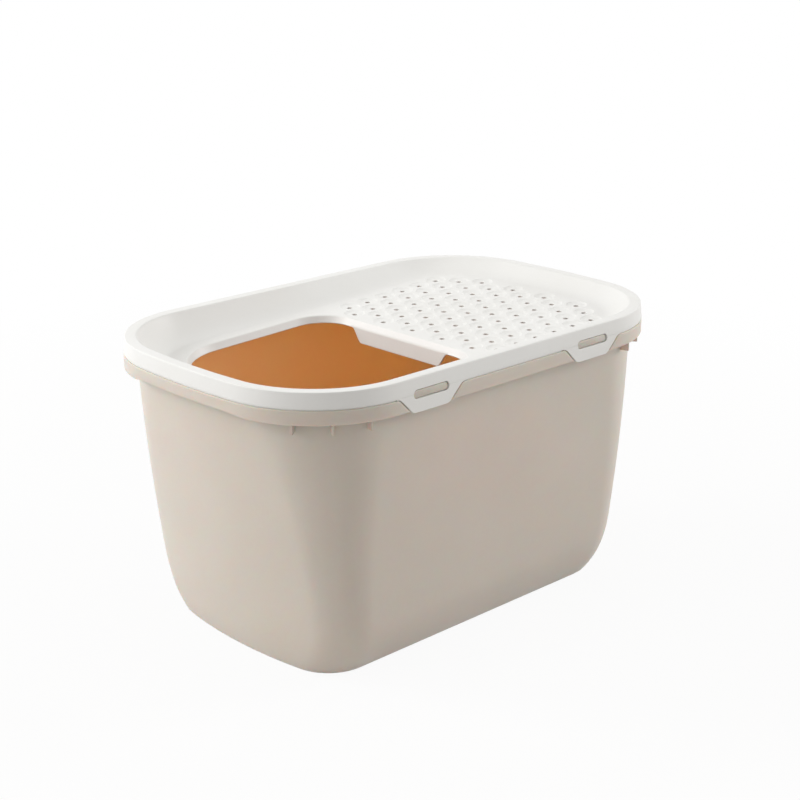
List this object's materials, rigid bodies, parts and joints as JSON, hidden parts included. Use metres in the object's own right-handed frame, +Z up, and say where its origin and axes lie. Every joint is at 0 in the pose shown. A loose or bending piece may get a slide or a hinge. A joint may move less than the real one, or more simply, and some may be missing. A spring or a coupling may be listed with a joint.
{
  "type": "top entry litter box",
  "caption": "Tapered litter bin with a rim skirt and finger reliefs, under a dished lid with an entry opening, a perforated landing and swinging latch tabs.",
  "frame": {"origin": "on the floor, under the middle of the bin", "axes": "+Z up; X along the length, with the entry opening towards -X and the landing towards +X; the corners with gussets are on the -Y side"},
  "size_m": [0.5848, 0.375, 0.328],
  "materials": {
    "bin": "satin, warm beige outside and orange-brown inside",
    "lid": "satin white"
  },
  "bodies": {
    "bin": {"bin": "bin"},
    "lid": {"lid": "lid"},
    "latch_tab_front_left": {"latch_tab_front_left": "lid"},
    "latch_tab_front_right": {"latch_tab_front_right": "lid"},
    "latch_tab_rear_left": {"latch_tab_rear_left": "lid"},
    "latch_tab_rear_right": {"latch_tab_rear_right": "lid"}
  },
  "joints": [
    {"name": "lid_lift", "type": "slide", "parent": "bin", "child": "lid", "axis": [0, 0, 1], "range_m": [0, 0.25]},
    {"name": "tab_bend_front_left", "type": "hinge", "parent": "lid", "child": "latch_tab_front_left", "pos_m": [-0.124, -0.18738, 0.311], "axis": [-1, 0, 0], "range_deg": [0, 8], "stiffness_Nm_per_rad": 0.5},
    {"name": "tab_bend_front_right", "type": "hinge", "parent": "lid", "child": "latch_tab_front_right", "pos_m": [0.124, -0.18738, 0.311], "axis": [-1, 0, 0], "range_deg": [0, 8], "stiffness_Nm_per_rad": 0.5},
    {"name": "tab_bend_rear_left", "type": "hinge", "parent": "lid", "child": "latch_tab_rear_left", "pos_m": [-0.124, 0.18738, 0.311], "axis": [1, 0, 0], "range_deg": [0, 8], "stiffness_Nm_per_rad": 0.5},
    {"name": "tab_bend_rear_right", "type": "hinge", "parent": "lid", "child": "latch_tab_rear_right", "pos_m": [0.124, 0.18738, 0.311], "axis": [1, 0, 0], "range_deg": [0, 8], "stiffness_Nm_per_rad": 0.5}
  ]
}
